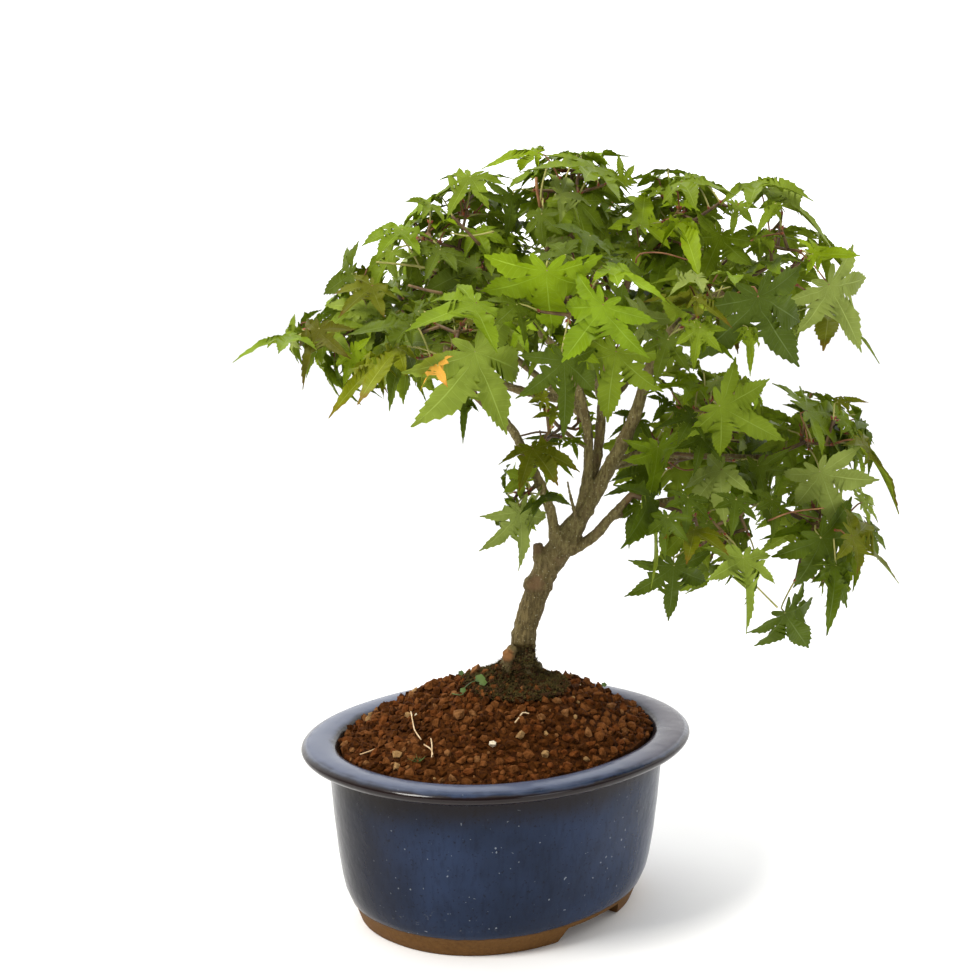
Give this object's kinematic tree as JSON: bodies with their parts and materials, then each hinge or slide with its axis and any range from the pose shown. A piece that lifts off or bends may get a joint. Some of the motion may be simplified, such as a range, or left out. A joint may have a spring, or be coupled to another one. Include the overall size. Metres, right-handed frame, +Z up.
{
  "type": "japanese maple bonsai in a glazed oval pot",
  "caption": "Small broadleaf bonsai with a leaning, forked trunk and a spreading crown of lobed leaves, in an oval glazed pot with a flat lip on two low feet.",
  "frame": {"origin": "under the middle of the whole plant's box, at the level of the pot's feet", "axes": "+Z up, -Y the side that faces the viewer, +X the side that the trunk leans to"},
  "size_m": [0.2588, 0.1774, 0.3099],
  "materials": {
    "glaze": "glossy blue glaze over unglazed clay feet",
    "soil": "loose matt granules",
    "bark": "matt bark",
    "leaf": "satin leaf"
  },
  "bodies": {
    "root": {"pot": "glaze", "soil": "soil", "trunk": "bark", "left_bough": "bark", "centre_left_bough": "bark", "centre_bough": "bark", "right_bough": "bark", "low_right_bough": "bark", "left_arm": "bark", "upper_left_bough": "bark", "back_left_bough": "bark", "front_bough": "bark", "back_top_bough": "bark", "back_right_bough": "bark", "right_front_bough": "bark", "low_upper_bough": "bark", "low_outer_bough": "bark", "low_tip_bough": "bark", "low_back_bough": "bark", "left_spur": "bark", "inner_spur": "bark", "left_foliage": "leaf", "front_left_foliage": "leaf", "upper_left_foliage": "leaf", "top_foliage": "leaf", "front_foliage": "leaf", "upper_right_foliage": "leaf", "right_foliage": "leaf", "right_front_foliage": "leaf", "back_left_foliage": "leaf", "back_top_foliage": "leaf", "back_right_foliage": "leaf", "low_upper_foliage": "leaf", "low_outer_foliage": "leaf", "low_tip_foliage": "leaf", "low_inner_foliage": "leaf", "low_back_foliage": "leaf", "left_spur_foliage": "leaf", "inner_spur_foliage": "leaf"}
  },
  "joints": []
}
